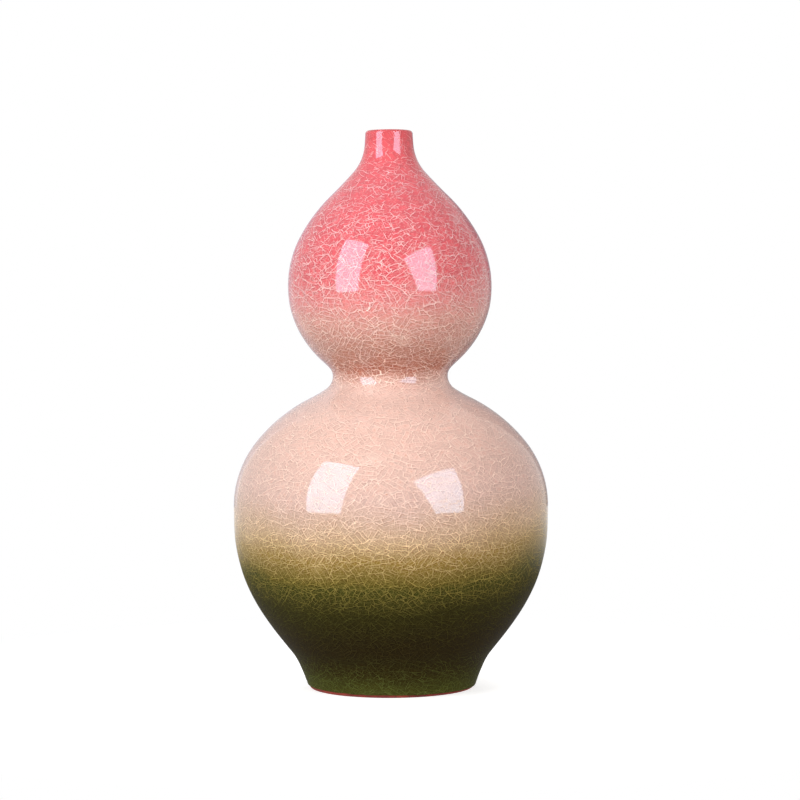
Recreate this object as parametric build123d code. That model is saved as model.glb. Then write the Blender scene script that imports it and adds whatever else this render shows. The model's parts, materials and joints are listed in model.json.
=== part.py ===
from build123d import *
from dataclasses import dataclass, replace
import math
import os

# A double gourd vase, turned about the Z axis and standing on the floor at Z = 0.
# Clay sections are thrown one by one, luted together with slip and glazed inside and out.
# Radii and heights of the outline are those of the glazed outer surface, in millimetres.

# Layers of the wall, counted inwards from the glazed outer surface
GLAZE = 0.7             # outer glaze coat
CLAY = 3.3              # fired clay
LINING = 0.5            # glaze lining on the inside
SLIP = 0.6              # luting slip between two clay sections
JOINT_BEVEL = 30        # degrees that a luted rim leans from square to the wall

# Radii, from the mouth down to the foot
MOUTH_R = 8.0           # lined bore of the mouth
LIP_WALL = 4.8          # bore to the outer side of the lip
SHOULDER_R = 31.5       # joint under the neck
UPPER_BELLY_R = 55.0    # widest line of the upper gourd
WAIST_R = 31.2          # narrowest line between the two gourds
BELLY_R = 84.9          # widest line of the lower gourd
FOOT_R = 45.8           # lower edge of the green glaze
FOOT_FLARE = 3.8        # step outwards from that edge up to the lower bowl
FOOT_RING_W = 7.8       # glaze edge to the inner side of the foot ring

# Heights of the sections, from the floor up
BARE_FOOT_H = 2.0       # bare clay below the green glaze
FOOT_RISE = 3.8         # glaze edge to the top of the foot ring
SLAB_H = 5.5            # foot ring to the lower bowl
LOWER_BOWL_H = 86.0     # base slab to the belly
LOWER_DOME_H = 70.2     # belly to the waist
UPPER_BOWL_H = 48.3     # waist to the upper belly
UPPER_DOME_H = 48.7     # upper belly to the shoulder
NECK_H = 34.8           # shoulder to the top of the lip
BORE_DEPTH = 12.0       # straight bore, from the top of the lip

# Slopes of the wall, in degrees outwards on the way down
LIP_SLOPE = 3
NECK_SLOPE = 4
SHOULDER_SLOPE = 46
ROSE_LINE_SLOPE = -17
UNDERCUT_SLOPE = -48
LOWER_SHOULDER_SLOPE = 64
GREEN_LINE_SLOPE = -11
LOWER_BELLY_SLOPE = -24.5
FLARE_SLOPE = -38
SLAB_SLOPE = -23
FOOT_SLOPE = -21
GLAZE_EDGE_SLOPE = -19

# Points between two named widths, as shares of the step in radius and in height on the way down
NECK_SHARES = (0.024, 0.216)              # lip to shoulder
ROSE_LINE_SHARES = (0.086, 0.311)         # upper belly to waist
UNDERCUT_SHARES = (0.777, 0.839)          # upper belly to waist
LOWER_SHOULDER_SHARES = (0.22, 0.167)     # waist to belly
GREEN_LINE_SHARES = (0.045, 0.279)        # belly to base slab
LOWER_BELLY_SHARES = (0.221, 0.512)       # belly to base slab
FLARE_SHARES = (0.684, 0.814)             # belly to base slab
FOOT_JOINT_SHARE = 0.605                  # of the foot's flare, base slab to glaze edge
LIP_ROUND_SHARE = 0.36                    # of the lip's wall
FOOT_CHAMFER_SHARE = 0.5                  # of the bare foot's height

# Sizes that follow from those above
WALL = GLAZE + CLAY
LIP_R = MOUTH_R + LIP_WALL
LIP_ROUND = LIP_WALL * LIP_ROUND_SHARE
FOOT_CHAMFER = BARE_FOOT_H * FOOT_CHAMFER_SHARE
FOOT_INNER_R = FOOT_R - FOOT_RING_W
SLAB_R = FOOT_R + FOOT_FLARE
GLAZE_EDGE_Z = BARE_FOOT_H + GLAZE
FOOT_Z = GLAZE_EDGE_Z + FOOT_RISE
SLAB_Z = FOOT_Z + SLAB_H
BELLY_Z = SLAB_Z + LOWER_BOWL_H
WAIST_Z = BELLY_Z + LOWER_DOME_H
UPPER_BELLY_Z = WAIST_Z + UPPER_BOWL_H
SHOULDER_Z = UPPER_BELLY_Z + UPPER_DOME_H
HEIGHT = SHOULDER_Z + NECK_H
LIP_Z = HEIGHT - LIP_ROUND
THROAT_Z = HEIGHT - BORE_DEPTH

STRAIGHT_SHARE = 1e-6   # bow of an edge, as a share of its length, below which it is a line


@dataclass
class Mark:
    """A point of the outline, with the wall's slope there and the lean of a cut through the wall."""

    radius: float
    height: float
    slope: float = 0
    lean: float = 0
    move: float = 0

    @property
    def heading(self):
        """Unit step down along the wall."""
        turn = math.radians(self.slope)
        return Vector(math.sin(turn), 0, -math.cos(turn))

    def at(self, depth):
        """The point on this mark's cut that lies at a depth under the glazed surface."""
        turn = math.radians(self.slope)
        inwards = Vector(-math.cos(turn), 0, -math.sin(turn))
        along = self.move + depth * math.tan(math.radians(self.lean))
        return Vector(self.radius, 0, self.height) + inwards * depth + self.heading * along


def between(above, below, shares, slope):
    """A mark part of the way down from one mark to another."""
    radius_share, height_share = shares
    radius = above.radius + (below.radius - above.radius) * radius_share
    height = above.height + (below.height - above.height) * height_share
    return Mark(radius, height, slope)


def rims(joint):
    """The two rims of a luted joint, above and below its slip."""
    return replace(joint, move=-SLIP / 2), replace(joint, move=SLIP / 2)


def arc(start, heading, end):
    """An arc that leaves its start along a heading, or a line if the end lies straight ahead."""
    chord = end - start
    if heading.cross(chord).length < chord.length * STRAIGHT_SHARE:
        return Line(start, end)
    return TangentArc(start, end, tangent=heading)


def biarc(start, start_heading, end, end_heading):
    """Edges from one point and heading to the next: a line, or two arcs that meet smoothly."""
    chord = end - start
    if start_heading.cross(chord).length < chord.length * STRAIGHT_SHARE:
        return [Line(start, end)]
    ahead = chord.dot(start_heading + end_heading)
    turn = 2 * (1 - start_heading.dot(end_heading))
    if turn < STRAIGHT_SHARE:
        reach = chord.dot(chord) / (2 * ahead)
    else:
        reach = (math.sqrt(ahead**2 + turn * chord.dot(chord)) - ahead) / turn
    first = start + start_heading * reach
    last = end - end_heading * reach
    middle = (first + last) / 2
    return [arc(start, start_heading, middle), arc(middle, (last - first).normalized(), end)]


def run(marks, depth):
    """The wall's line at a depth, down through the marks."""
    edges = []
    for above, below in zip(marks, marks[1:]):
        edges += biarc(above.at(depth), above.heading, below.at(depth), below.heading)
    return edges


def turned(edges):
    """The solid that a closed outline sweeps about the vase's axis."""
    return revolve(make_face(edges), Axis.Z)


def band(marks, outer, inner):
    """The wall between two depths, from the first mark down to the last."""
    top = Line(marks[0].at(outer), marks[0].at(inner))
    bottom = Line(marks[-1].at(outer), marks[-1].at(inner))
    return turned(run(marks, outer) + run(marks, inner) + [top, bottom])


# Marks of the outline: widths and joints first, then the points between them
lip = Mark(LIP_R, LIP_Z, LIP_SLOPE)
shoulder = Mark(SHOULDER_R, SHOULDER_Z, SHOULDER_SLOPE, JOINT_BEVEL)
upper_belly = Mark(UPPER_BELLY_R, UPPER_BELLY_Z, lean=JOINT_BEVEL)
waist = Mark(WAIST_R, WAIST_Z, lean=JOINT_BEVEL)
belly = Mark(BELLY_R, BELLY_Z, lean=JOINT_BEVEL)
slab = Mark(SLAB_R, SLAB_Z, SLAB_SLOPE, -SLAB_SLOPE)
foot = Mark(SLAB_R - FOOT_FLARE * FOOT_JOINT_SHARE, FOOT_Z, FOOT_SLOPE, -FOOT_SLOPE)
glaze_edge = Mark(FOOT_R, GLAZE_EDGE_Z, GLAZE_EDGE_SLOPE)

neck_bend = between(Mark(LIP_R, HEIGHT), shoulder, NECK_SHARES, NECK_SLOPE)
rose_line = between(upper_belly, waist, ROSE_LINE_SHARES, ROSE_LINE_SLOPE)
undercut = between(upper_belly, waist, UNDERCUT_SHARES, UNDERCUT_SLOPE)
lower_shoulder = between(waist, belly, LOWER_SHOULDER_SHARES, LOWER_SHOULDER_SLOPE)
green_line = between(belly, slab, GREEN_LINE_SHARES, GREEN_LINE_SLOPE)
lower_belly = between(belly, slab, LOWER_BELLY_SHARES, LOWER_BELLY_SLOPE)
flare = between(belly, slab, FLARE_SHARES, FLARE_SLOPE)

shoulder_top, shoulder_low = rims(shoulder)
upper_belly_top, upper_belly_low = rims(upper_belly)
waist_top, waist_low = rims(waist)
belly_top, belly_low = rims(belly)
slab_top, slab_low = rims(slab)
foot_top, foot_low = rims(foot)

wall = [
    lip, neck_bend, shoulder_top, shoulder_low, upper_belly_top, upper_belly_low,
    rose_line, undercut, waist_top, waist_low, lower_shoulder, belly_top, belly_low,
    green_line, lower_belly, flare, slab_top, slab_low, foot_top, foot_low, glaze_edge,
]


def stretch(first, last):
    """The marks of the wall from one mark down to another."""
    return wall[wall.index(first):wall.index(last) + 1]


# Levels inside and under the vase
floor_z = slab_low.at(WALL).Z
recess_z = foot_top.at(GLAZE).Z
foot_top_z = foot_low.at(GLAZE).Z


def lip_edges(depth, bore):
    """The rounded lip at a depth, from the outer wall over the top to the bore."""
    outer = Vector(LIP_R - LIP_ROUND, 0, HEIGHT - depth)
    inner = Vector(MOUTH_R + LIP_ROUND, 0, HEIGHT - depth)
    mouth = Vector(bore, 0, LIP_Z)
    return [
        TangentArc(lip.at(depth), outer, tangent=-lip.heading),
        Line(outer, inner),
        TangentArc(mouth, inner, tangent=Vector(0, 0, 1)),
    ]


def throat_edges(depth, bore):
    """The straight bore and its flare, down to the shoulder joint at a depth."""
    throat = Mark(bore, THROAT_Z)
    straight = Line((bore, 0, LIP_Z), throat.at(0))
    end = shoulder_top.at(depth)
    return [straight] + biarc(throat.at(0), throat.heading, end, shoulder_top.heading)


def neck_section():
    """Clay funnel with the lip and the bore of the mouth."""
    bore = MOUTH_R + LINING
    rim = Line(shoulder_top.at(GLAZE), shoulder_top.at(WALL))
    outside = run(stretch(lip, shoulder_top), GLAZE)
    return turned(outside + lip_edges(GLAZE, bore) + throat_edges(WALL, bore) + [rim])


def base_disc():
    """Clay slab that closes the bottom, between the lower bowl and the foot ring."""
    top = slab_low.at(GLAZE)
    bottom = foot_top.at(GLAZE)
    inside = Polyline(top, (0, 0, top.Z), (0, 0, bottom.Z), bottom)
    return turned(run([slab_low, foot_top], GLAZE) + inside.edges())


def standing_ring():
    """Bare clay ring that the vase stands on, chamfered on both sides."""
    start = glaze_edge.at(GLAZE)
    drop = (start.Z - FOOT_CHAMFER) / -glaze_edge.heading.Z
    outer = start + glaze_edge.heading * drop
    under = Polyline(
        start,
        outer,
        (outer.X - FOOT_CHAMFER, 0, 0),
        (FOOT_INNER_R + FOOT_CHAMFER, 0, 0),
        (FOOT_INNER_R, 0, FOOT_CHAMFER),
        (FOOT_INNER_R, 0, foot_top_z),
        foot_low.at(GLAZE),
    )
    return turned(run([foot_low, glaze_edge], GLAZE) + under.edges())


def foot_slip():
    """Slip between the foot ring and the base slab, as wide as the ring."""
    outline = Polyline(
        foot_top.at(GLAZE),
        (FOOT_INNER_R, 0, recess_z),
        (FOOT_INNER_R, 0, foot_top_z),
        foot_low.at(GLAZE),
        close=True,
    )
    return turned(outline.edges())


def rose_coat():
    """Rose glaze from the bore, over the lip and down to the rose line."""
    marks = stretch(lip, rose_line)
    mouth = Line((MOUTH_R, 0, LIP_Z), (MOUTH_R + LINING, 0, LIP_Z))
    edge = Line(rose_line.at(0), rose_line.at(GLAZE))
    outside = lip_edges(0, MOUTH_R) + run(marks, 0)
    inside = lip_edges(GLAZE, MOUTH_R + LINING) + run(marks, GLAZE)
    return turned(outside + inside + [mouth, edge])


def green_coat():
    """Green glaze from the green line down to a rounded edge above the bare foot."""
    marks = stretch(green_line, glaze_edge)
    top = Line(green_line.at(0), green_line.at(GLAZE))
    edge = glaze_edge.at(GLAZE) + glaze_edge.heading * GLAZE
    bead = TangentArc(glaze_edge.at(0), edge, tangent=glaze_edge.heading)
    hem = Line(glaze_edge.at(GLAZE), edge)
    return turned(run(marks, 0) + run(marks, GLAZE) + [top, bead, hem])


def lining_coat():
    """Glaze lining from the bore down the inside and across the floor."""
    depth = WALL + LINING
    rise = LINING / -slab.heading.Z
    corner = replace(slab, move=SLIP / 2 - rise)
    mouth = Line((MOUTH_R, 0, LIP_Z), (MOUTH_R + LINING, 0, LIP_Z))
    against_clay = throat_edges(WALL, MOUTH_R + LINING) + run(stretch(shoulder_top, slab_low), WALL)
    inside = throat_edges(depth, MOUTH_R) + run(stretch(shoulder_top, flare) + [corner], depth)
    ground = Polyline(
        slab_low.at(WALL),
        (0, 0, floor_z),
        (0, 0, corner.at(depth).Z),
        corner.at(depth),
    )
    return turned(against_clay + inside + [mouth] + ground.edges())


def recess_coat():
    """Glaze on the underside of the base slab, inside the foot ring."""
    outline = Polyline(
        (0, 0, recess_z),
        (FOOT_INNER_R, 0, recess_z),
        (FOOT_INNER_R, 0, recess_z - GLAZE),
        (0, 0, recess_z - GLAZE),
        close=True,
    )
    return turned(outline.edges())


pieces = {
    "neck": neck_section(),
    "upper_dome": band(stretch(shoulder_low, upper_belly_top), GLAZE, WALL),
    "upper_bowl": band(stretch(upper_belly_low, waist_top), GLAZE, WALL),
    "lower_dome": band(stretch(waist_low, belly_top), GLAZE, WALL),
    "lower_bowl": band(stretch(belly_low, slab_top), GLAZE, WALL),
    "base_slab": base_disc(),
    "foot_ring": standing_ring(),
    "neck_luting_slip": band([shoulder_top, shoulder_low], GLAZE, WALL),
    "upper_belly_luting_slip": band([upper_belly_top, upper_belly_low], GLAZE, WALL),
    "waist_luting_slip": band([waist_top, waist_low], GLAZE, WALL),
    "belly_luting_slip": band([belly_top, belly_low], GLAZE, WALL),
    "base_luting_slip": band([slab_top, slab_low], GLAZE, WALL),
    "foot_luting_slip": foot_slip(),
    "rose_glaze": rose_coat(),
    "peach_glaze": band(stretch(rose_line, green_line), 0, GLAZE),
    "green_glaze": green_coat(),
    "inner_glaze": lining_coat(),
    "base_glaze": recess_coat(),
}

os.makedirs("parts", exist_ok=True)
for name, piece in pieces.items():
    export_step(piece, f"parts/{name}.step")
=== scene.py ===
import json
import math

import bmesh
import bpy
from mathutils import Matrix, Vector, noise


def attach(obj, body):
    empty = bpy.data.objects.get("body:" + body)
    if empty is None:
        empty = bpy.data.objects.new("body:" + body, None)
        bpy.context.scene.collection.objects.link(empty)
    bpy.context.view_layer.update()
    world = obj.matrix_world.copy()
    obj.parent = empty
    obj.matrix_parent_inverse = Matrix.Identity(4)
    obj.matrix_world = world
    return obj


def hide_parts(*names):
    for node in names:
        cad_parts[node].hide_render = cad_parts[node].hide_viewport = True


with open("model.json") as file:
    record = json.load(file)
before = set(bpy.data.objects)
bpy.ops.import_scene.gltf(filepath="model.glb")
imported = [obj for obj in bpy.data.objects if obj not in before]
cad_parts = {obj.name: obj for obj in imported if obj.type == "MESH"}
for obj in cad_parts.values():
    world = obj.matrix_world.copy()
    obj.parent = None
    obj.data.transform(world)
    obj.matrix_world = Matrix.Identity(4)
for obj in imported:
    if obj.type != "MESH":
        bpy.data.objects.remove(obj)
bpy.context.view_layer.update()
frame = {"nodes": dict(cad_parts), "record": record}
nodes = frame["nodes"]
mm = 0.001
up = Vector((0, 0, 1))
outwards = Vector((1, 0, 0))
print("frame loaded with", len(nodes), "nodes")


# Outer surface of the vase, from the lip down: radius, height, slope, and lean of a cut through the wall
vaseWall = {
    "lip": (12.8 * mm, 298.27 * mm, 3, 0),
    "neck": (13.25 * mm, 292.5 * mm, 4, 0),
    "shoulder": (31.5 * mm, 265.2 * mm, 46, 30),
    "upperBelly": (55.0 * mm, 216.5 * mm, 0, 30),
    "roseLine": (52.95 * mm, 201.5 * mm, -17, 0),
    "undercut": (36.5 * mm, 176.0 * mm, -48, 0),
    "waist": (31.2 * mm, 168.2 * mm, 0, 30),
    "lowerShoulder": (43.0 * mm, 156.5 * mm, 64, 0),
    "belly": (84.9 * mm, 98.0 * mm, 0, 30),
    "greenLine": (83.3 * mm, 74.0 * mm, -11, 0),
    "lowerBelly": (77.1 * mm, 54.0 * mm, -24.5, 0),
    "flare": (60.75 * mm, 28.0 * mm, -38, 0),
    "slab": (49.6 * mm, 12.0 * mm, -23, 23),
    "foot": (47.3 * mm, 6.5 * mm, -21, 21),
    "glazeEdge": (45.8 * mm, 2.7 * mm, -19, 0),
}
vaseHeight = 300 * mm
glazeDepth = 0.7 * mm    # outer glaze
clayDepth = 4.0 * mm     # to the inner side of the clay
liningDepth = 4.5 * mm   # to the inner side of the lining
boreRadius = 8.0 * mm
straightShare = 1e-5     # bow of an arc, as a share of its chord, that counts as straight
parallelShare = 1e-6     # difference of two headings that counts as none
weldGap = 1e-6


def wallMarks(first, last):
    names = list(vaseWall)
    return [vaseWall[name] for name in names[names.index(first):names.index(last) + 1]]


# Every new piece is an outline in the XZ plane, drawn from a single vertex and spun about the vase's axis

def headingOf(slope):  # unit step down a wall that leans outwards by slope degrees
    turn = math.radians(slope)
    return Vector((math.sin(turn), 0, -math.cos(turn)))


def sunk(mark, depth, move=0):  # a mark of the wall, at a depth under the glazed surface
    radius, height, slope, lean = mark
    turn = math.radians(slope)
    inwards = Vector((-math.cos(turn), 0, -math.sin(turn)))
    along = move + depth * math.tan(math.radians(lean))
    return Vector((radius, 0, height)) + inwards * depth + headingOf(slope) * along


def lineTo(mesh, tip, place):
    made = bmesh.ops.extrude_vert_indiv(mesh, verts=[tip])["verts"][0]
    made.co = place
    return made


def stepsTo(mesh, tip, place, spacing):  # a straight run with points along it
    start, end = tip.co.copy(), Vector(place)
    count = max(1, math.ceil((end - start).length / spacing))
    for step in range(count):
        tip = lineTo(mesh, tip, start.lerp(end, (step + 1) / count))
    return tip


def arcTo(mesh, tip, heading, place, spacing):  # arc that leaves the tip along a heading
    chord = Vector(place) - tip.co
    side = Vector((-heading.z, 0, heading.x))
    bow = side.dot(chord)
    if abs(bow) < chord.length * straightShare:
        return lineTo(mesh, tip, place)
    radius = chord.length_squared / (2 * bow)
    angle = 2 * math.atan2(bow, heading.dot(chord))
    steps = max(2, math.ceil(abs(angle * radius) / spacing))
    swung = bmesh.ops.spin(mesh, geom=[tip], cent=tip.co + side * radius, axis=(0, -1, 0),
                           angle=angle, steps=steps, use_merge=False)
    return [part for part in swung["geom_last"] if isinstance(part, bmesh.types.BMVert)][0]


def arcOnto(mesh, tip, place, lastHeading, spacing):  # arc that arrives along a heading
    chord = (Vector(place) - tip.co).normalized()
    heading = 2 * chord.dot(lastHeading) * chord - lastHeading
    return arcTo(mesh, tip, heading, place, spacing)


def easeTo(mesh, tip, heading, place, lastHeading, spacing):  # two arcs that meet smoothly
    chord = Vector(place) - tip.co
    ahead = chord.dot(heading + lastHeading)
    turn = 2 * (1 - heading.dot(lastHeading))
    if turn < parallelShare:
        reach = chord.length_squared / (2 * ahead)
    else:
        reach = (math.sqrt(ahead ** 2 + turn * chord.length_squared) - ahead) / turn
    first = tip.co + heading * reach
    last = Vector(place) - lastHeading * reach
    tip = arcTo(mesh, tip, heading, (first + last) / 2, spacing)
    return arcTo(mesh, tip, (last - first).normalized(), place, spacing)


def wallDown(mesh, tip, marks, depth, spacing):
    for above, below in zip(marks, marks[1:]):
        tip = easeTo(mesh, tip, headingOf(above[2]), sunk(below, depth), headingOf(below[2]), spacing)
    return tip


def wallUp(mesh, tip, marks, depth, spacing):
    for below, above in zip(marks[::-1], marks[-2::-1]):
        tip = easeTo(mesh, tip, -headingOf(below[2]), sunk(above, depth), -headingOf(above[2]), spacing)
    return tip


def spun(mesh, name, segments, cornerAngle=40):  # a quarter turn, then three copies of it
    quarter = math.pi / 2
    bmesh.ops.spin(mesh, geom=mesh.verts[:] + mesh.edges[:], cent=(0, 0, 0), axis=up,
                   angle=quarter, steps=segments // 4, use_merge=False)
    bmesh.ops.spin(mesh, geom=mesh.verts[:] + mesh.edges[:] + mesh.faces[:], cent=(0, 0, 0), axis=up,
                   angle=3 * quarter, steps=3, use_merge=False, use_duplicate=True)
    bmesh.ops.remove_doubles(mesh, verts=mesh.verts, dist=weldGap)
    bmesh.ops.recalc_face_normals(mesh, faces=mesh.faces)
    for face in mesh.faces:
        face.smooth = True
    for edge in mesh.edges:
        edge.smooth = edge.calc_face_angle(0) < math.radians(cornerAngle)
    data = bpy.data.meshes.new(name)
    mesh.to_mesh(data)
    mesh.free()
    piece = bpy.data.objects.new(name, data)
    bpy.context.scene.collection.objects.link(piece)
    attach(piece, "root")
    print(name, "has", len(data.polygons), "faces")
    return piece


# Hand-thrown unevenness of the glazed surface, inwards only
thrownWall = {
    "wobble": 0.28 * mm,
    "wobbleLength": 46 * mm,
    "wobbleStart": Vector((3.1, 7.7, 1.9)),
    "ripple": 0.03 * mm,      # finer waves of the fired glaze
    "rippleLength": 13 * mm,
    "rippleStart": Vector((8.3, 2.2, 5.4)),
    "calmEnds": 6 * mm,       # none at the lip and the foot
}


def waveAt(place, length, start):  # from 0 to 1
    return 0.5 + 0.5 * noise.noise(place / length + start)


def makeUneven(piece):
    for vert in piece.data.vertices:
        broad = waveAt(vert.co, thrownWall["wobbleLength"], thrownWall["wobbleStart"])
        fine = waveAt(vert.co, thrownWall["rippleLength"], thrownWall["rippleStart"])
        inwards = thrownWall["wobble"] * broad + thrownWall["ripple"] * fine
        fromEnd = min(vaseHeight - vert.co.z, vert.co.z) / thrownWall["calmEnds"]
        shrink = 1 - inwards * min(1, max(0, fromEnd)) / math.hypot(vert.co.x, vert.co.y)
        vert.co.x *= shrink
        vert.co.y *= shrink


roseCoat = {
    "segments": 288,
    "spacing": 1.4 * mm,      # of the outline's points
    "backSpacing": 5.0 * mm,  # against the clay
    "lipRound": 1.73 * mm,
    "lipSpacing": 0.3 * mm,
}


def lipTop(depth):  # outer and inner end of the flat on top of the lip
    top, rounding = vaseHeight - depth, roseCoat["lipRound"]
    return Vector((vaseWall["lip"][0] - rounding, 0, top)), Vector((boreRadius + rounding, 0, top))


def makeRoseGlaze():
    marks = wallMarks("lip", "roseLine")
    spacing, mouthHeight = roseCoat["lipSpacing"], vaseWall["lip"][1]
    down = headingOf(vaseWall["lip"][2])
    mesh = bmesh.new()
    start = mesh.verts.new((boreRadius, 0, mouthHeight))
    outer, inner = lipTop(0)
    tip = arcTo(mesh, start, up, inner, spacing)
    tip = lineTo(mesh, tip, outer)
    tip = arcOnto(mesh, tip, sunk(marks[0], 0), down, spacing)
    tip = wallDown(mesh, tip, marks, 0, roseCoat["spacing"])
    tip = lineTo(mesh, tip, sunk(marks[-1], glazeDepth))
    tip = wallUp(mesh, tip, marks, glazeDepth, roseCoat["backSpacing"])
    outer, inner = lipTop(glazeDepth)
    tip = arcTo(mesh, tip, -down, outer, spacing)
    tip = lineTo(mesh, tip, inner)
    lined = boreRadius + liningDepth - clayDepth
    tip = arcOnto(mesh, tip, (lined, 0, mouthHeight), -up, spacing)
    mesh.edges.new((tip, start))
    return spun(mesh, "roseGlaze", roseCoat["segments"])


peachCoat = {
    "segments": 288,
    "spacing": 1.4 * mm,
    "backSpacing": 5.0 * mm,
}


def makePeachGlaze():
    marks = wallMarks("roseLine", "greenLine")
    mesh = bmesh.new()
    start = mesh.verts.new(sunk(marks[0], 0))
    tip = wallDown(mesh, start, marks, 0, peachCoat["spacing"])
    tip = lineTo(mesh, tip, sunk(marks[-1], glazeDepth))
    tip = wallUp(mesh, tip, marks, glazeDepth, peachCoat["backSpacing"])
    mesh.edges.new((tip, start))
    return spun(mesh, "peachGlaze", peachCoat["segments"])


greenCoat = {
    "segments": 288,
    "spacing": 1.4 * mm,
    "backSpacing": 5.0 * mm,
    "hemSpacing": 0.15 * mm,  # round the coat's lower edge
    "run": 0.85 * mm,         # that the glaze has run down the foot
    "runRight": 0.3 * mm,     # more of it on the right
    "runWaver": 0.3 * mm,
    "runLength": 9 * mm,
}


def makeGreenGlaze():
    marks = wallMarks("greenLine", "glazeEdge")
    down = headingOf(vaseWall["glazeEdge"][2])
    hem = sunk(marks[-1], glazeDepth)
    mesh = bmesh.new()
    start = mesh.verts.new(sunk(marks[0], 0))
    tip = wallDown(mesh, start, marks, 0, greenCoat["spacing"])
    tip = arcTo(mesh, tip, down, hem + down * glazeDepth, greenCoat["hemSpacing"])
    tip = lineTo(mesh, tip, hem)
    tip = wallUp(mesh, tip, marks, glazeDepth, greenCoat["backSpacing"])
    mesh.edges.new((tip, start))
    coat = spun(mesh, "greenGlaze", greenCoat["segments"])
    top, low = vaseWall["foot"][1], hem.z
    for vert in coat.data.vertices:
        share = min(1, max(0, (top - vert.co.z) / (top - low)))
        side = vert.co.xy.normalized()
        waver = noise.noise(Vector((side.x, side.y, 0)) * vaseWall["foot"][0] / greenCoat["runLength"])
        run = greenCoat["run"] + greenCoat["runRight"] * side.x + greenCoat["runWaver"] * waver
        vert.co += Vector((side.x * down.x, side.y * down.x, down.z)) * run * share
    return coat


roseGlaze, peachGlaze, greenGlaze = makeRoseGlaze(), makePeachGlaze(), makeGreenGlaze()
outerCoats = {"rose_glaze": roseGlaze, "peach_glaze": peachGlaze, "green_glaze": greenGlaze}
for node, coat in outerCoats.items():
    makeUneven(coat)
    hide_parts(node)


liningCoat = {
    "segments": 96,
    "spacing": 4.0 * mm,
    "throat": 288 * mm,       # lower end of the straight bore
    "floor": 11.72 * mm,      # clay floor inside
    "pool": 4.0 * mm,         # glaze that gathers round the floor
    "poolFineness": 6,        # times finer there
}


def makeLining():
    marks = wallMarks("shoulder", "flare")
    shoulderDown, slabDown = headingOf(marks[0][2]), headingOf(vaseWall["slab"][2])
    flareDown, pool = headingOf(marks[-1][2]), liningCoat["pool"]
    thickness = liningDepth - clayDepth
    mouthHeight, throat, spacing = vaseWall["lip"][1], liningCoat["throat"], liningCoat["spacing"]
    floorTop = liningCoat["floor"] + thickness
    corner = sunk(vaseWall["slab"], liningDepth)
    corner += slabDown * ((corner.z - floorTop) / -slabDown.z)
    mesh = bmesh.new()
    start = mesh.verts.new((boreRadius, 0, mouthHeight))
    tip = stepsTo(mesh, start, (boreRadius, 0, throat), spacing)
    tip = easeTo(mesh, tip, -up, sunk(marks[0], liningDepth), shoulderDown, spacing)
    tip = wallDown(mesh, tip, marks, liningDepth, spacing)
    tip = easeTo(mesh, tip, flareDown, corner - slabDown * pool, slabDown, spacing)
    tip = arcTo(mesh, tip, slabDown, corner - outwards * pool, spacing / liningCoat["poolFineness"])
    lineTo(mesh, tip, (0, 0, floorTop))
    back = lineTo(mesh, start, (boreRadius + thickness, 0, mouthHeight))
    back = lineTo(mesh, back, (boreRadius + thickness, 0, throat))
    back = easeTo(mesh, back, -up, sunk(marks[0], clayDepth), shoulderDown, spacing)
    back = wallDown(mesh, back, marks, clayDepth, spacing)
    back = easeTo(mesh, back, flareDown, sunk(vaseWall["slab"], clayDepth), slabDown, spacing)
    back = lineTo(mesh, back, back.co + slabDown * ((back.co.z - liningCoat["floor"]) / -slabDown.z))
    lineTo(mesh, back, (0, 0, liningCoat["floor"]))
    return spun(mesh, "lining", liningCoat["segments"])


lining = makeLining()
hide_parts("inner_glaze")


footClay = {
    "segments": 192,
    "spacing": 0.4 * mm,
    "innerRadius": 38 * mm,
    "edge": 1.0 * mm,         # rounding beside the flat that it stands on
    "joint": 0.3 * mm,        # half the slip above the ring
    "handling": 0.08 * mm,    # uneven trimming, inwards only
    "handlingLength": 7 * mm,
    "handlingStart": Vector((2.7, 4.1, 9.3)),
}


def makeFootRing():
    edge, innerRadius, spacing = footClay["edge"], footClay["innerRadius"], footClay["spacing"]
    down = headingOf(vaseWall["glazeEdge"][2])
    mesh = bmesh.new()
    start = mesh.verts.new(sunk(vaseWall["foot"], glazeDepth, footClay["joint"]))
    bare = sunk(vaseWall["glazeEdge"], glazeDepth)
    tip = easeTo(mesh, start, headingOf(vaseWall["foot"][2]), bare, down, spacing)
    low = bare + down * ((bare.z - edge) / -down.z)
    tip = stepsTo(mesh, tip, low, spacing)
    tip = arcTo(mesh, tip, down, (low.x - edge, 0, 0), spacing / 2)
    tip = stepsTo(mesh, tip, (innerRadius + edge, 0, 0), spacing * 2)
    tip = arcTo(mesh, tip, -outwards, (innerRadius, 0, edge), spacing / 2)
    tip = stepsTo(mesh, tip, (innerRadius, 0, start.co.z), spacing)
    mesh.edges.new((tip, start))
    ring = spun(mesh, "footRing", footClay["segments"])
    for vert in ring.data.vertices:
        radius = math.hypot(vert.co.x, vert.co.y)
        if vert.co.z < bare.z and radius > innerRadius + edge:
            share = min(1, (bare.z - vert.co.z) / edge)
            grain = waveAt(vert.co, footClay["handlingLength"], footClay["handlingStart"])
            vert.co.xy *= 1 - footClay["handling"] * grain * share / radius
    return ring


footRing = makeFootRing()
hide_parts("foot_ring")


recessCoat = {
    "segments": 144,
    "radius": 38 * mm,
    "top": 6.78 * mm,         # clay that it covers
    "thickness": 0.7 * mm,
    "ringStep": 1.6 * mm,     # trimming rings that show through
    "ringDepth": 0.07 * mm,
    "climb": 1.1 * mm,        # up the foot ring's inner side
    "climbSteps": 8,
}


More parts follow.
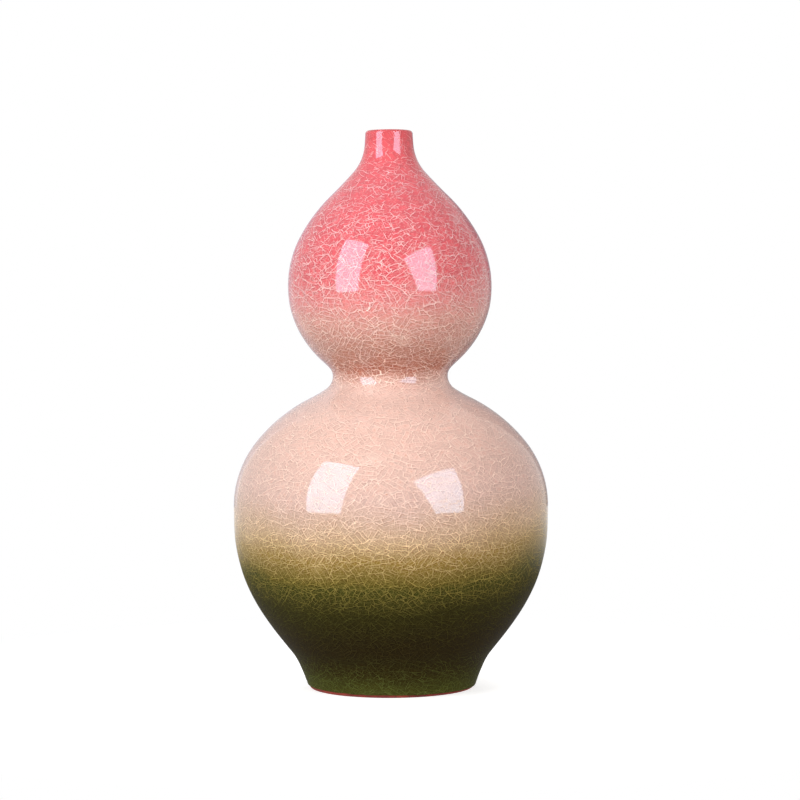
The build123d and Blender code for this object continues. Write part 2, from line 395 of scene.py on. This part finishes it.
def makeRecessGlaze():
    low = recessCoat["top"] - recessCoat["thickness"]
    climb, step = recessCoat["climb"], recessCoat["ringStep"]
    mesh = bmesh.new()
    tip = mesh.verts.new((0, 0, low))
    radius = 0
    while radius + 2 * step < recessCoat["radius"] - climb:
        for lift in (recessCoat["ringDepth"], 0):  # shallow groove, then the ridge beside it
            radius += step / 2
            tip = lineTo(mesh, tip, (radius, 0, low + lift))
    tip = lineTo(mesh, tip, (recessCoat["radius"] - climb, 0, low))
    tip = arcTo(mesh, tip, outwards, (recessCoat["radius"], 0, low - climb), climb / recessCoat["climbSteps"])
    tip = lineTo(mesh, tip, (recessCoat["radius"], 0, recessCoat["top"]))
    lineTo(mesh, tip, (0, 0, recessCoat["top"]))
    return spun(mesh, "recessGlaze", recessCoat["segments"])


recessGlaze = makeRecessGlaze()
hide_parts("base_glaze")
print("pieces done")


# Shader node helpers

def feed(tree, socket, value):  # a link, or a plain value on the socket
    if isinstance(value, bpy.types.NodeSocket):
        tree.links.new(value, socket)
    else:
        socket.default_value = value


def maths(tree, operation, *values):
    node = tree.nodes.new("ShaderNodeMath")
    node.operation = operation
    for socket, value in zip(node.inputs, values):
        feed(tree, socket, value)
    return node.outputs[0]


def plus(tree, first, second):
    return maths(tree, "ADD", first, second)


def minus(tree, first, second):
    return maths(tree, "SUBTRACT", first, second)


def times(tree, first, second):
    return maths(tree, "MULTIPLY", first, second)


def squared(tree, value):
    return maths(tree, "POWER", value, 2.0)


def vectorMaths(tree, operation, *values, output="Vector"):
    node = tree.nodes.new("ShaderNodeVectorMath")
    node.operation = operation
    for socket, value in zip(node.inputs, values):
        feed(tree, socket, value)
    return node.outputs[output]


def dotOf(tree, first, second):
    return vectorMaths(tree, "DOT_PRODUCT", first, second, output="Value")


def scaled(tree, vector, by):
    node = tree.nodes.new("ShaderNodeVectorMath")
    node.operation = "SCALE"
    feed(tree, node.inputs["Vector"], vector)
    feed(tree, node.inputs["Scale"], by)
    return node.outputs["Vector"]


def smoothRange(tree, value, low, high, outLow=0.0, outHigh=1.0):
    node = tree.nodes.new("ShaderNodeMapRange")
    node.interpolation_type = "SMOOTHSTEP"
    for socket, number in zip(node.inputs, (value, low, high, outLow, outHigh)):
        feed(tree, socket, number)
    return node.outputs[0]


def mixedColour(tree, share, first, second, blend="MIX"):
    node = tree.nodes.new("ShaderNodeMix")
    node.data_type = "RGBA"
    node.blend_type = blend
    feed(tree, node.inputs[0], share)
    feed(tree, node.inputs[6], first)
    feed(tree, node.inputs[7], second)
    return node.outputs[2]


def noiseOf(tree, vector, scale, detail=2.0, roughness=0.5, output="Fac"):
    node = tree.nodes.new("ShaderNodeTexNoise")
    feed(tree, node.inputs["Vector"], vector)
    feed(tree, node.inputs["Scale"], scale)
    node.inputs["Detail"].default_value = detail
    node.inputs["Roughness"].default_value = roughness
    return node.outputs[output]


def cellsOf(tree, vector, feature, scale=1.0):
    node = tree.nodes.new("ShaderNodeTexVoronoi")
    node.feature = feature
    feed(tree, node.inputs["Vector"], vector)
    node.inputs["Scale"].default_value = scale
    return node.outputs


def tint(red, green, blue, alpha=1.0):  # a colour as a screen shows it
    def straight(part):
        part /= 255
        return part / 12.92 if part <= 0.04045 else ((part + 0.055) / 1.055) ** 2.4
    return (straight(red), straight(green), straight(blue), alpha)


def heightRamp(tree, height, colours):  # colours by height in mm, from the foot up, with a strength each
    node = tree.nodes.new("ShaderNodeValToRGB")
    stops = node.color_ramp.elements
    for index, (level, *colour) in enumerate(colours):
        stop = stops[index] if index < 2 else stops.new(1.0)
        stop.position = level * mm / vaseHeight
        stop.color = tint(*colour)
    feed(tree, node.inputs[0], maths(tree, "DIVIDE", height, vaseHeight))
    return node.outputs


def newMaterial(name):
    material = bpy.data.materials.new(name)
    material.use_nodes = True
    tree = material.node_tree
    tree.nodes.clear()
    out = tree.nodes.new("ShaderNodeOutputMaterial")
    shader = tree.nodes.new("ShaderNodeBsdfPrincipled")
    tree.links.new(shader.outputs[0], out.inputs["Surface"])
    reading = tree.nodes.new("ShaderNodeTexCoord").outputs
    return material, tree, shader, reading["Object"], reading["Normal"]


def bumped(tree, height, strength, distance):
    node = tree.nodes.new("ShaderNodeBump")
    node.inputs["Strength"].default_value = strength
    node.inputs["Distance"].default_value = distance
    tree.links.new(height, node.inputs["Height"])
    return node.outputs["Normal"]


def newGroup(name, takes, gives):
    tree = bpy.data.node_groups.new(name, "ShaderNodeTree")
    for socket in takes:
        kind = "NodeSocketVector" if socket in ("Vector", "Normal") else "NodeSocketFloat"
        tree.interface.new_socket(socket, in_out="INPUT", socket_type=kind)
    for socket in gives:
        tree.interface.new_socket(socket, in_out="OUTPUT", socket_type="NodeSocketFloat")
    return tree, tree.nodes.new("NodeGroupInput").outputs, tree.nodes.new("NodeGroupOutput").inputs


def grouped(tree, group, **values):
    node = tree.nodes.new("ShaderNodeGroup")
    node.node_tree = group
    for name, value in values.items():
        feed(tree, node.inputs[name], value)
    return node.outputs


# Crazing that all the glazes share: long cracks round plates of glaze, and in each plate
# parallel cracks with cross cuts between them, all in widths of a flake
crazing = {
    "plate": (3.6, 2.1),      # width and height
    "lean": 2.3,              # how far the parallel cracks turn from level, in all
    "strip": 1.0,             # from one parallel crack to the next
    "cut": 1.6,               # from one cross cut to the next
    "stroke": 2.2,            # length of crack that shows or hides as one
    "bend": 1.0,              # how far the cracks swing
    "bendScale": 0.3,
    "waver": 0.4,             # and how far a single crack wavers
    "waverScale": 1.1,
    "leastSlant": 0.02,       # of the face between two plates to the surface
    "plateScale": 0.8,        # how often the cracks round plates fade
    "plateChances": (0.25, 0.72),
    "scatter": 40.0,          # range of each plate's own random numbers
    "shuffle": 20.0,          # and of the shift of each crack's cuts and strokes
    "core": 0.36,             # in widths of a line, from its middle to where it pales
    "rim": 0.6,
    "shade": (0.7, 2.1, 4.2),  # and to where the painted shade below it starts, is darkest and ends
    "chances": (-0.3, 0.9),   # of a crack that just shows and of a strong one, where all show
    "groove": 0.25,
}


def chanceOf(tree, *values):  # a random colour for each set of whole numbers
    node = tree.nodes.new("ShaderNodeTexWhiteNoise")
    place = tree.nodes.new("ShaderNodeCombineXYZ")
    for socket, value in zip(place.inputs, values):
        feed(tree, socket, value)
    tree.links.new(place.outputs[0], node.inputs["Vector"])
    parts = tree.nodes.new("ShaderNodeSeparateColor")
    tree.links.new(node.outputs["Color"], parts.inputs[0])
    return parts.outputs


def nearEdge(tree, value, width):  # length to the nearest whole number
    fromMiddle = maths(tree, "ABSOLUTE", minus(tree, maths(tree, "FRACT", value), 0.5))
    return times(tree, minus(tree, 0.5, fromMiddle), width)


def buildCrackleNet():
    tree, given, out = newGroup("crackleNet", ("Vector", "Normal", "Cell", "Width", "Share"),
                                ("Line", "Side", "Chance", "Relief", "Middle", "Height"))
    half = (0.5, 0.5, 0.5)
    space = scaled(tree, given["Vector"], maths(tree, "DIVIDE", 1.0, given["Cell"]))
    bend = noiseOf(tree, space, crazing["bendScale"], 1.0, output="Color")
    waver = noiseOf(tree, space, crazing["waverScale"], 1.0, output="Color")
    for swing, size in ((bend, crazing["bend"]), (waver, crazing["waver"])):
        swing = scaled(tree, vectorMaths(tree, "SUBTRACT", swing, half), size)
        space = vectorMaths(tree, "ADD", space, swing)
    wide, high = crazing["plate"]
    plateSize = (wide, wide, high)
    plates = vectorMaths(tree, "DIVIDE", space, plateSize)
    plate, nextPlate = cellsOf(tree, plates, "F1"), cellsOf(tree, plates, "F2")
    further = minus(tree, squared(tree, nextPlate["Distance"]), squared(tree, plate["Distance"]))
    apart = vectorMaths(tree, "SUBTRACT", nextPlate["Position"], plate["Position"])
    slanted = vectorMaths(tree, "DIVIDE", apart, plateSize)
    slanted = vectorMaths(tree, "CROSS_PRODUCT", slanted, given["Normal"])
    slant = vectorMaths(tree, "LENGTH", slanted, output="Value")
    slant = maths(tree, "MAXIMUM", slant, crazing["leastSlant"])
    plateEdge = maths(tree, "DIVIDE", times(tree, further, 0.5), slant)
    # Painted shade falls only on the lower side of a crack between two plates
    nextIsLower = maths(tree, "LESS_THAN", dotOf(tree, apart, tuple(up)), 0.0)
    plateSide = plus(tree, plateEdge, nextIsLower)
    own = tree.nodes.new("ShaderNodeSeparateColor")
    tree.links.new(plate["Color"], own.inputs[0])
    turn, shift, mark = (times(tree, own.outputs[index], crazing["scatter"]) for index in range(3))

    # Level and upright steps on the surface, turned by each plate's own angle
    level = vectorMaths(tree, "NORMALIZE", vectorMaths(tree, "CROSS_PRODUCT", tuple(up), given["Vector"]))
    rise = vectorMaths(tree, "CROSS_PRODUCT", given["Normal"], level)
    angle = times(tree, minus(tree, own.outputs[0], 0.5), crazing["lean"])
    cosine, sine = maths(tree, "COSINE", angle), maths(tree, "SINE", angle)
    fromMiddle = vectorMaths(tree, "SUBTRACT", plates, plate["Position"])
    fromMiddle = vectorMaths(tree, "MULTIPLY", fromMiddle, plateSize)
    sideways, upwards = dotOf(tree, fromMiddle, level), dotOf(tree, fromMiddle, rise)
    along = plus(tree, times(tree, sideways, cosine), times(tree, upwards, sine))
    across = minus(tree, times(tree, upwards, cosine), times(tree, sideways, sine))

    across = plus(tree, maths(tree, "DIVIDE", across, crazing["strip"]), shift)
    strip = maths(tree, "FLOOR", across)
    inStrip = minus(tree, maths(tree, "FRACT", across), 0.5)
    stripEdge = nearEdge(tree, across, crazing["strip"])
    stripSide = times(tree, minus(tree, 0.5, inStrip), crazing["strip"])
    spread = times(tree, chanceOf(tree, strip, turn, mark)[0], crazing["shuffle"])
    cutting = plus(tree, maths(tree, "DIVIDE", along, crazing["cut"]), spread)
    inCut = minus(tree, maths(tree, "FRACT", cutting), 0.5)
    cutEdge = nearEdge(tree, cutting, crazing["cut"])
    cutSide = times(tree, plus(tree, 0.5, inCut), crazing["cut"])
    flake = chanceOf(tree, plus(tree, strip, turn), maths(tree, "FLOOR", cutting), mark)

    crack = maths(tree, "ROUND", across)
    strokes = times(tree, chanceOf(tree, crack, mark, turn)[0], crazing["shuffle"])
    stroke = maths(tree, "FLOOR", plus(tree, maths(tree, "DIVIDE", along, crazing["stroke"]), strokes))
    faintest, strongest = crazing["chances"]
    hidden = minus(tree, 1.0 + faintest, given["Share"])
    width = maths(tree, "DIVIDE", given["Width"], given["Cell"])
    core, rim = times(tree, width, crazing["core"]), times(tree, width, crazing["rim"])
    shadeStart, shadeMiddle, shadeEnd = (times(tree, width, share) for share in crazing["shade"])
    plateChance = noiseOf(tree, space, crazing["plateScale"], 0.0)
    plateChance = smoothRange(tree, plateChance, *crazing["plateChances"])
    stripChance = chanceOf(tree, crack, stroke, mark)[1]
    cutChance = chanceOf(tree, strip, maths(tree, "ROUND", cutting), turn)[2]
    line = side = None
    for edge, under, chance in ((plateEdge, plateSide, plateChance), (stripEdge, stripSide, stripChance),
                                (cutEdge, cutSide, cutChance)):
        shown = smoothRange(tree, chance, hidden, strongest)
        drawn = times(tree, smoothRange(tree, edge, core, rim, 1.0, 0.0), shown)
        # Painted shade below the crack, where the crack shows
        paintedShadeBelow = times(tree, smoothRange(tree, under, shadeStart, shadeMiddle),
                       smoothRange(tree, under, shadeMiddle, shadeEnd, 1.0, 0.0))
        paintedShadeBelow = times(tree, paintedShadeBelow, shown)
        line = drawn if line is None else maths(tree, "MAXIMUM", line, drawn)
        side = paintedShadeBelow if side is None else maths(tree, "MAXIMUM", side, paintedShadeBelow)

    away = tree.nodes.new("ShaderNodeCombineXYZ")
    feed(tree, away.inputs[0], inStrip)
    feed(tree, away.inputs[1], times(tree, inCut, crazing["cut"]))
    # Tilt of each flake: bump height, and in the outer glaze painted light and shade
    relief = plus(tree, inStrip, times(tree, inCut, minus(tree, flake[1], 0.5)))
    feed(tree, out["Line"], line)
    feed(tree, out["Side"], side)
    feed(tree, out["Chance"], flake[0])
    feed(tree, out["Relief"], relief)
    feed(tree, out["Middle"], vectorMaths(tree, "LENGTH", away.outputs[0], output="Value"))
    feed(tree, out["Height"], minus(tree, relief, times(tree, line, crazing["groove"])))
    return tree


crackleNet = buildCrackleNet()


outerGlaze = {
    "body": [             # glaze between the cracks: height, colour, strength of the painted shade below a crack
        (0, 76, 78, 28, 0.8), (12, 50, 40, 9, 0.7), (30, 44, 34, 9, 0.9), (46, 51, 46, 13, 1.0),
        (60, 64, 67, 22, 1.0), (74, 149, 121, 53, 1.0), (86, 192, 160, 128, 0.9),
        (106, 216, 180, 168, 0.65), (140, 237, 196, 181, 0.75), (160, 241, 210, 198, 0.85),
        # The stops at 172 and 184 mm, darker and browner than those above and below, are painted shade under
        # the upper bulb, where the glaze turns from peach to rose
        (172, 177, 105, 82, 0.9), (184, 190, 130, 113, 1.0), (197, 221, 151, 139, 1.0),
        (208, 226, 123, 123, 0.95), (222, 225, 85, 94, 0.85), (240, 226, 87, 97, 0.6),
        (270, 234, 98, 108, 0.4), (300, 219, 82, 89, 0.3),
    ],
    "cracks": [           # height, colour of the cracks, share of them that shows
        (0, 104, 116, 58, 0.9), (24, 68, 60, 28, 0.9), (46, 84, 83, 36, 0.95),
        (64, 178, 158, 82, 1.0), (82, 252, 224, 172, 1.0), (100, 254, 228, 212, 0.9),
        (160, 255, 230, 216, 0.85), (190, 255, 230, 216, 1.0), (212, 255, 230, 226, 0.8),
        (240, 255, 232, 232, 0.45), (275, 255, 216, 220, 0.2), (300, 246, 150, 156, 0.0),
    ],
    "cell": 2.5 * mm,
    "lineWidth": 0.23 * mm,
    "fineCell": 1.2 * mm,   # a second net of fainter cracks
    "fineWidth": 0.18 * mm,
    "fineStrength": 0.5,
    "drift": 12 * mm,     # how unevenly the colours run into each other
    "driftNoise": (30, 4.0, 0.6),  # scale, detail and roughness
    "sideRise": 9 * mm,   # that the coats reach higher at two sides
    "tilt": 3 * mm,       # and higher on the right than on the left
    "paintedFlakeShading": 0.12,       # painted light and shade across a flake, from its tilt
    "flakeTones": 0.14,   # random tone from one flake to the next
    "paintedCrackShade": (0.62, 0.46, 0.42, 1),  # painted shade below each crack, darker and warmer
    "crackDulling": 0.95,  # of the gloss, on a crack
    "footGloss": 0.08,    # share of the gloss that is left near the foot
    "glossRise": (60 * mm, 96 * mm),  # heights where it grows to the full gloss
    "glossRoughness": 0.05,
    "glossIor": 1.45,
    "bump": (0.22, 0.1 * mm),
    "blotches": 0.18,
    "blotchNoise": (75, 1.0),
    "blotchEdges": (0.68, 0.78),
    "specks": (212, 148, 114),
    "speckStrength": 0.45,
    "speckEdges": (0.08, 0.26),   # from a flake's middle
    "speckChance": 0.8,           # flakes above it have a speck
    "specksBegin": (85 * mm, 110 * mm),
    "specksEnd": (190 * mm, 150 * mm),
}


def makeOuterGlaze():
    material, tree, shader, place, normal = newMaterial("crackleGlaze")
    axes = tree.nodes.new("ShaderNodeSeparateXYZ")
    tree.links.new(place, axes.inputs[0])
    height = axes.outputs["Z"]
    drift = minus(tree, noiseOf(tree, place, *outerGlaze["driftNoise"]), 0.5)
    aside = maths(tree, "DIVIDE", axes.outputs["X"], vaseWall["belly"][0])
    rise = times(tree, squared(tree, aside), outerGlaze["sideRise"])
    rise = plus(tree, rise, times(tree, aside, outerGlaze["tilt"]))
    level = plus(tree, height, times(tree, drift, outerGlaze["drift"]))
    level = minus(tree, level, rise)
    body = heightRamp(tree, level, outerGlaze["body"])
    cracks = heightRamp(tree, level, outerGlaze["cracks"])
    net = grouped(tree, crackleNet, Vector=place, Normal=normal, Cell=outerGlaze["cell"],
                  Width=outerGlaze["lineWidth"], Share=cracks["Alpha"])
    fine = grouped(tree, crackleNet, Vector=place, Normal=normal, Cell=outerGlaze["fineCell"],
                   Width=outerGlaze["fineWidth"], Share=cracks["Alpha"])
    # Line is the pale crack, side the painted shade below it
    line, side = (maths(tree, "MAXIMUM", net[name], times(tree, fine[name], outerGlaze["fineStrength"]))
                  for name in ("Line", "Side"))
    tonesAndPaintedShading = times(tree, minus(tree, net["Chance"], 0.5), outerGlaze["flakeTones"])
    # Painted light and shade across each flake, from its tilt
    tonesAndPaintedShading = plus(tree, tonesAndPaintedShading, times(tree, net["Relief"], outerGlaze["paintedFlakeShading"]))
    colour = mixedColour(tree, 1.0, body["Color"], plus(tree, 1.0, tonesAndPaintedShading), "MULTIPLY")
    # Painted shade below each crack, as strong as the body ramp's alpha
    side = times(tree, side, body["Alpha"])
    colour = mixedColour(tree, side, colour, outerGlaze["paintedCrackShade"], "MULTIPLY")
    blotch = noiseOf(tree, place, *outerGlaze["blotchNoise"])
    blotch = smoothRange(tree, blotch, *outerGlaze["blotchEdges"], 0.0, outerGlaze["blotches"])
    colour = mixedColour(tree, blotch, colour, cracks["Color"])
    aboveGreen = smoothRange(tree, height, *outerGlaze["specksBegin"])
    inPeach = times(tree, aboveGreen, smoothRange(tree, height, *outerGlaze["specksEnd"]))
    speck = smoothRange(tree, net["Middle"], *outerGlaze["speckEdges"], outerGlaze["speckStrength"], 0.0)
    speck = times(tree, speck, maths(tree, "GREATER_THAN", net["Chance"], outerGlaze["speckChance"]))
    colour = mixedColour(tree, times(tree, speck, inPeach), colour, tint(*outerGlaze["specks"]))
    colour = mixedColour(tree, line, colour, cracks["Color"])
    feed(tree, shader.inputs["Base Color"], colour)
    shader.inputs["Specular IOR Level"].default_value = 0.0
    gloss = minus(tree, 1.0, times(tree, line, outerGlaze["crackDulling"]))
    shine = smoothRange(tree, height, *outerGlaze["glossRise"], outerGlaze["footGloss"], 1.0)
    feed(tree, shader.inputs["Coat Weight"], times(tree, gloss, shine))
    shader.inputs["Coat Roughness"].default_value = outerGlaze["glossRoughness"]
    shader.inputs["Coat IOR"].default_value = outerGlaze["glossIor"]
    feed(tree, shader.inputs["Normal"], bumped(tree, net["Height"], *outerGlaze["bump"]))
    return material


crackleGlaze = makeOuterGlaze()
for coat in outerCoats.values():
    coat.data.materials.append(crackleGlaze)


creamGlaze = {
    "body": (226, 212, 186),
    "thick": (204, 196, 164),  # where it has gathered
    "cracks": (150, 128, 98),
    "cell": 5.5 * mm,
    "lineWidth": 0.35 * mm,
    "share": 0.8,             # of the cracks that show
    "crackStrength": 0.55,
    "gathering": (45, 3.0, 0.6),
    "gatherEdges": (0.35, 0.7),
    "roughness": 0.1,
    "ior": 1.55,
    "bump": (0.15, 0.1 * mm),
}


def makeCreamGlaze():
    material, tree, shader, place, normal = newMaterial("creamGlaze")
    net = grouped(tree, crackleNet, Vector=place, Normal=normal, Cell=creamGlaze["cell"],
                  Width=creamGlaze["lineWidth"], Share=creamGlaze["share"])
    gathered = smoothRange(tree, noiseOf(tree, place, *creamGlaze["gathering"]), *creamGlaze["gatherEdges"])
    colour = mixedColour(tree, gathered, tint(*creamGlaze["body"]), tint(*creamGlaze["thick"]))
    line = times(tree, net["Line"], creamGlaze["crackStrength"])
    colour = mixedColour(tree, line, colour, tint(*creamGlaze["cracks"]))
    feed(tree, shader.inputs["Base Color"], colour)
    shader.inputs["Roughness"].default_value = creamGlaze["roughness"]
    shader.inputs["IOR"].default_value = creamGlaze["ior"]
    feed(tree, shader.inputs["Normal"], bumped(tree, net["Height"], *creamGlaze["bump"]))
    return material


creamCrackle = makeCreamGlaze()
lining.data.materials.append(creamCrackle)
recessGlaze.data.materials.append(creamCrackle)
print("glazes done")


# Fired clay: mottling, grit and iron specks that the foot, the sections and the slip share
clayFeel = {
    "mottling": (90, 5.0, 0.6),   # scale, detail and roughness
    "mottleEdges": (0.3, 0.72),
    "grit": (900, 4.0, 0.65),
    "specks": 420,
    "speckEdges": (0.12, 0.3),
    "speckChance": 0.72,          # cells above it have a speck
    "speckStrength": 0.7,
    "speckDepth": 0.4,
    "bump": (0.5, 0.15 * mm),
}


def buildClayGrain():
    tree, given, out = newGroup("clayGrain", ("Vector",), ("Mottle", "Speck", "Height"))
    grit = noiseOf(tree, given["Vector"], *clayFeel["grit"])
    spot = cellsOf(tree, given["Vector"], "F1", clayFeel["specks"])
    chosen = tree.nodes.new("ShaderNodeSeparateColor")
    tree.links.new(spot["Color"], chosen.inputs[0])
    speck = times(tree, smoothRange(tree, spot["Distance"], *clayFeel["speckEdges"], 1.0, 0.0),
                  maths(tree, "GREATER_THAN", chosen.outputs[0], clayFeel["speckChance"]))
    mottle = noiseOf(tree, given["Vector"], *clayFeel["mottling"])
    feed(tree, out["Mottle"], smoothRange(tree, mottle, *clayFeel["mottleEdges"]))
    feed(tree, out["Speck"], speck)
    feed(tree, out["Height"], minus(tree, grit, times(tree, speck, clayFeel["speckDepth"])))
    return tree


clayGrain = buildClayGrain()
bareFoot = {"pale": (172, 66, 46), "deep": (118, 36, 26), "specks": (60, 26, 20), "roughness": 0.82}
buffClay = {"pale": (196, 160, 132), "deep": (168, 128, 100), "specks": (110, 76, 56), "roughness": 0.88}
jointSlip = {"pale": (186, 148, 118), "deep": (158, 116, 88), "specks": (104, 70, 50), "roughness": 0.9}


def makeClay(name, clay):
    material, tree, shader, place, _ = newMaterial(name)
    grain = grouped(tree, clayGrain, Vector=place)
    colour = mixedColour(tree, grain["Mottle"], tint(*clay["deep"]), tint(*clay["pale"]))
    speck = times(tree, grain["Speck"], clayFeel["speckStrength"])
    colour = mixedColour(tree, speck, colour, tint(*clay["specks"]))
    feed(tree, shader.inputs["Base Color"], colour)
    shader.inputs["Roughness"].default_value = clay["roughness"]
    feed(tree, shader.inputs["Normal"], bumped(tree, grain["Height"], *clayFeel["bump"]))
    return material


footRing.data.materials.append(makeClay("bareFootClay", bareFoot))
sectionClay, slipClay = makeClay("sectionClay", buffClay), makeClay("slipClay", jointSlip)
for part in frame["record"]["subparts"]:
    finish = {"clay_body": sectionClay, "luting_slip": slipClay}.get(part["material_slot"])
    if finish:
        for slot in nodes[part["node"]].material_slots:
            slot.material = finish
print("clays done")


# Studio: pale floor, white backdrop, two soft boxes in front and a lamp behind. Each box in front is a lamp
# for the colours and a card, the right one with cut corners, that only shows in the gloss.
studio = {
    "middle": Vector((0, 0, 150 * mm)),
    "boxes": {
        "leftBox": {"turn": -48, "rise": 22.5, "distance": 1.3, "size": (0.66, 1.22),
                    "power": 15, "shine": 11.7},
        "rightBox": {"turn": 36.6, "rise": 19.5, "distance": 1.3, "size": (0.78, 1.04),
                     "power": 10.2, "shine": 11.4, "colour": (1.0, 0.93, 0.91),
                     "cuts": [((0, 0.83), (0.64, 1.04)), ((0.26, 0), (0, 0.83))]},
        "rearBox": {"turn": 180, "rise": 25, "distance": 1.4, "size": (0.9, 0.9), "power": 8, "shine": 0},
    },
    "shineColour": (0.62, 0.82, 1.03, 1),
    "rimCards": {           # close behind the vase: from left to right, and shine
        "leftEdgeCard": (-0.165, -0.155, 1.7),
        "leftCard": (-0.155, -0.01, 0.85),
        "rightCard": (-0.01, 0.155, 0.45),
    },
    "rimBehind": 0.16,
    "rimHeights": (0.085, 0.32),
    "rimColour": (0.86, 0.9, 1.0, 1),
    "fill": 0.1,            # of the room, on matt surfaces
    "floorRadius": 2.5,
    "floorSegments": 96,
    "floorColour": (0.6, 0.6, 0.59, 1),
    "floorLift": (0.7, 0.85),    # seen besides the light on the floor, at the foot and beyond; the lower lift at the foot paints a shadow round it
    "paintedShadowReach": (0.044, 0.075),   # from the axis, where the lift grows: the reach of the painted shadow round the foot
    "floorFade": (0.1, 0.32),    # and where the floor turns white
}


def emptyMaterial(name):
    material = bpy.data.materials.new(name)
    material.use_nodes = True
    tree = material.node_tree
    tree.nodes.clear()
    return material, tree, tree.nodes.new("ShaderNodeOutputMaterial").inputs["Surface"]


def stagePiece(mesh, name, material):
    data = bpy.data.meshes.new(name)
    mesh.to_mesh(data)
    mesh.free()
    data.materials.append(material)
    piece = bpy.data.objects.new(name, data)
    bpy.context.scene.collection.objects.link(piece)
    return piece


def addBox(name, turn, rise, distance, size, power, shine, colour=(1, 1, 1), cuts=()):
    turn, rise = math.radians(turn), math.radians(rise)
    way = Vector((math.sin(turn) * math.cos(rise), -math.cos(turn) * math.cos(rise), math.sin(rise)))
    turned = way.to_track_quat("Z", "Y").to_matrix().to_4x4()
    facing = Matrix.Translation(studio["middle"] + way * distance) @ turned
    if power:
        lamp = bpy.data.lights.new(name, "AREA")
        lamp.shape = "RECTANGLE"
        lamp.size, lamp.size_y = size
        lamp.energy, lamp.color = power, colour
        holder = bpy.data.objects.new(name, lamp)
        holder.matrix_world = facing
        holder.visible_camera = holder.visible_glossy = False
        bpy.context.scene.collection.objects.link(holder)
    if shine:
        addCard(name + "Card", facing, size, shine, studio["shineColour"], cuts)


def addCard(name, facing, size, shine, colour, cuts=()):  # only seen in the gloss
    wide, high = size
    mesh = bmesh.new()
    bmesh.ops.create_grid(mesh, x_segments=1, y_segments=1, size=0.5)
    bmesh.ops.scale(mesh, vec=(wide, high, 1), verts=mesh.verts)
    for start, end in cuts:  # from its lower left corner, and what is left of the cut goes
        along = Vector(end) - Vector(start)
        corner = (start[0] - wide / 2, start[1] - high / 2, 0)
        bmesh.ops.bisect_plane(mesh, geom=mesh.verts[:] + mesh.edges[:] + mesh.faces[:], clear_outer=True,
                               plane_co=corner, plane_no=(-along.y, along.x, 0))
    bmesh.ops.transform(mesh, matrix=facing, verts=mesh.verts)
    material, tree, surface = emptyMaterial(name)
    tree.links.new(glowOf(tree, shine, colour), surface)
    card = stagePiece(mesh, name, material)
    card.visible_camera = card.visible_diffuse = card.visible_transmission = card.visible_shadow = False


def addRimCards():
    low, high = studio["rimHeights"]
    for name, (left, right, shine) in studio["rimCards"].items():
        place = Vector(((left + right) / 2, studio["rimBehind"], (low + high) / 2))
        upright = Matrix.Translation(place) @ Matrix.Rotation(math.pi / 2, 4, "X")
        addCard(name, upright, (right - left, high - low), shine, studio["rimColour"])


def glowOf(tree, strength, colour=(1, 1, 1, 1)):
    node = tree.nodes.new("ShaderNodeEmission")
    node.inputs["Color"].default_value = colour
    feed(tree, node.inputs["Strength"], strength)
    return node.outputs[0]


def mixedShader(tree, share, first, second):
    node = tree.nodes.new("ShaderNodeMixShader")
    for socket, source in zip(node.inputs, (share, first, second)):
        tree.links.new(source, socket)
    return node.outputs[0]


def seenAsBackground(tree, path):  # by the camera, in a reflection or through glass
    direct = maths(tree, "MAXIMUM", path["Is Camera Ray"], path["Is Transmission Ray"])
    return maths(tree, "MAXIMUM", direct, path["Is Glossy Ray"])


def makeWorld():
    world = bpy.data.worlds.new("studio")
    world.use_nodes = True
    tree = world.node_tree
    tree.nodes.clear()
    out = tree.nodes.new("ShaderNodeOutputWorld")
    path = tree.nodes.new("ShaderNodeLightPath").outputs
    fill = times(tree, path["Is Diffuse Ray"], studio["fill"])
    backdrop = tree.nodes.new("ShaderNodeBackground")
    backdrop.inputs["Color"].default_value = (1, 1, 1, 1)
    strength = maths(tree, "MAXIMUM", fill, seenAsBackground(tree, path))
    tree.links.new(strength, backdrop.inputs["Strength"])
    tree.links.new(backdrop.outputs[0], out.inputs[0])
    bpy.context.scene.world = world


def makeFloor():
    material, tree, surface = emptyMaterial("floorPaper")
    path = tree.nodes.new("ShaderNodeLightPath").outputs
    seen = seenAsBackground(tree, path)
    place = tree.nodes.new("ShaderNodeTexCoord").outputs["Object"]
    away = vectorMaths(tree, "LENGTH", place, output="Value")
    paper = tree.nodes.new("ShaderNodeBsdfDiffuse")
    paper.inputs["Color"].default_value = studio["floorColour"]
    # Less lift near the foot: painted shadow round it, on top of the real shadow
    lift = smoothRange(tree, away, *studio["paintedShadowReach"], *studio["floorLift"])
    lifted = tree.nodes.new("ShaderNodeAddShader")
    tree.links.new(paper.outputs[0], lifted.inputs[0])
    tree.links.new(glowOf(tree, times(tree, seen, lift)), lifted.inputs[1])
    far = times(tree, seen, smoothRange(tree, away, *studio["floorFade"]))
    tree.links.new(mixedShader(tree, far, lifted.outputs[0], glowOf(tree, 1.0)), surface)
    mesh = bmesh.new()
    segments, radius = studio["floorSegments"], studio["floorRadius"]
    bmesh.ops.create_circle(mesh, cap_ends=True, segments=segments, radius=radius)
    stagePiece(mesh, "floor", material)


for name, box in studio["boxes"].items():
    addBox(name, **box)
addRimCards()
makeWorld()
makeFloor()
bpy.context.scene.view_settings.view_transform = "Standard"
print("studio done")


# Camera as in the photograph
view = {
    "place": Vector((0, -1.4, 0.205)),
    "aim": Vector((0.0052, 0, 0.155)),
    "angle": 17.52,
    "roll": -0.30,
}
camera = bpy.data.objects.new("camera", bpy.data.cameras.new("camera"))
camera.data.sensor_fit = "HORIZONTAL"
camera.data.angle = math.radians(view["angle"])
camera.location = view["place"]
look = (view["aim"] - view["place"]).to_track_quat("-Z", "Y").to_matrix()
camera.rotation_euler = (look @ Matrix.Rotation(math.radians(view["roll"]), 3, "Z")).to_euler()
bpy.context.scene.collection.objects.link(camera)
bpy.context.scene.camera = camera
